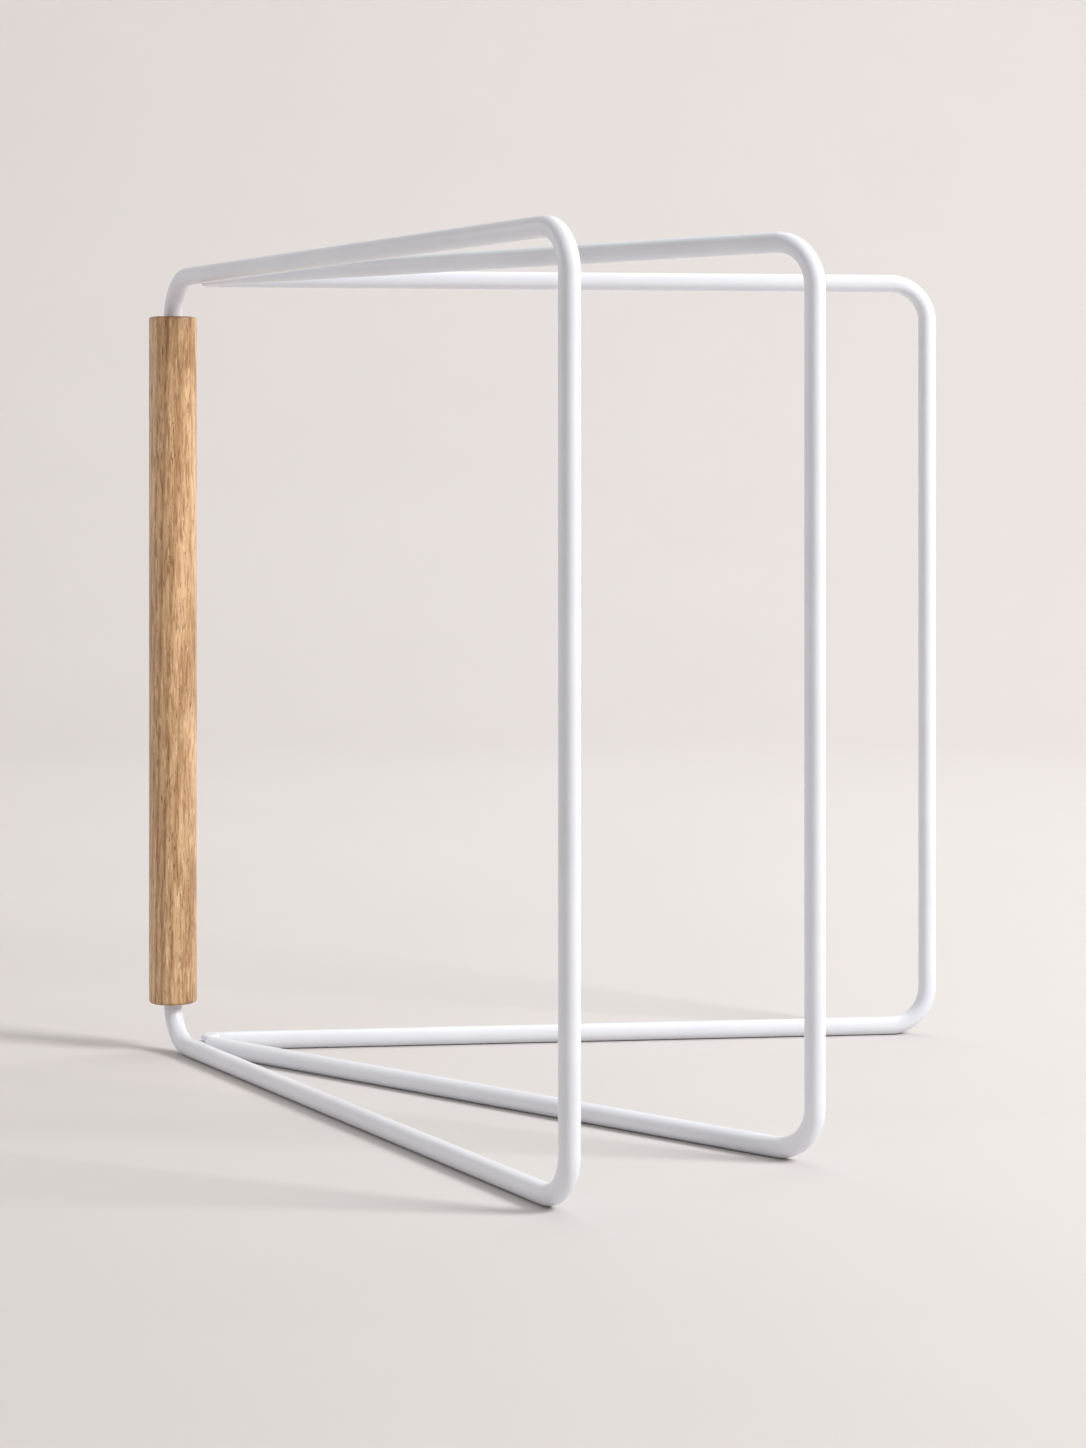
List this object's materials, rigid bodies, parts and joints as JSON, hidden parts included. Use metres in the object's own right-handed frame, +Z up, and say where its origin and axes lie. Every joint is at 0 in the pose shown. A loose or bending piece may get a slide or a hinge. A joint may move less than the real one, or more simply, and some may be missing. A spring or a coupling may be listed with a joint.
{
  "type": "folding drying rack",
  "caption": "Free-standing folding drying rack: square bent-tube frames swing like book leaves about an upright hinge line beside a round oak handle.",
  "frame": {"origin": "on the handle's axis, at floor level", "axes": "+Z up along the handle; +X along the front frame, away from the handle; +Y to the side that the other two frames open to"},
  "size_m": [0.534, 0.4926, 0.524],
  "materials": {
    "white_powder_coat": "smooth satin white powder coat on steel tube",
    "oak": "oiled straight-grained light oak",
    "white_nylon": "natural white nylon",
    "bright_steel": "plain drawn steel wire"
  },
  "bodies": {
    "front_leaf": {"front_frame": "white_powder_coat", "oak_handle": "oak", "handle_brads": "bright_steel", "lower_hinge_lug": "white_powder_coat", "lower_hinge_rivet": "white_powder_coat", "lower_hinge_washers": "white_nylon", "upper_hinge_lug": "white_powder_coat", "upper_hinge_rivet": "white_powder_coat", "upper_hinge_washers": "white_nylon"},
    "middle_leaf": {"middle_frame": "white_powder_coat", "lower_middle_end_fitting": "white_powder_coat", "upper_middle_end_fitting": "white_powder_coat"},
    "rear_leaf": {"rear_frame": "white_powder_coat", "lower_rear_end_fitting": "white_powder_coat", "upper_rear_end_fitting": "white_powder_coat"}
  },
  "joints": [
    {"name": "middle_swing", "type": "hinge", "parent": "front_leaf", "child": "middle_leaf", "pos_m": [0.02, 0.0186, 0.262], "axis": [0, 0, 1], "range_deg": [-19.5, 35.5]},
    {"name": "rear_swing", "type": "hinge", "parent": "middle_leaf", "child": "rear_leaf", "pos_m": [0.02, 0.0186, 0.262], "axis": [0, 0, 1], "range_deg": [-46.5, 8.5]}
  ]
}
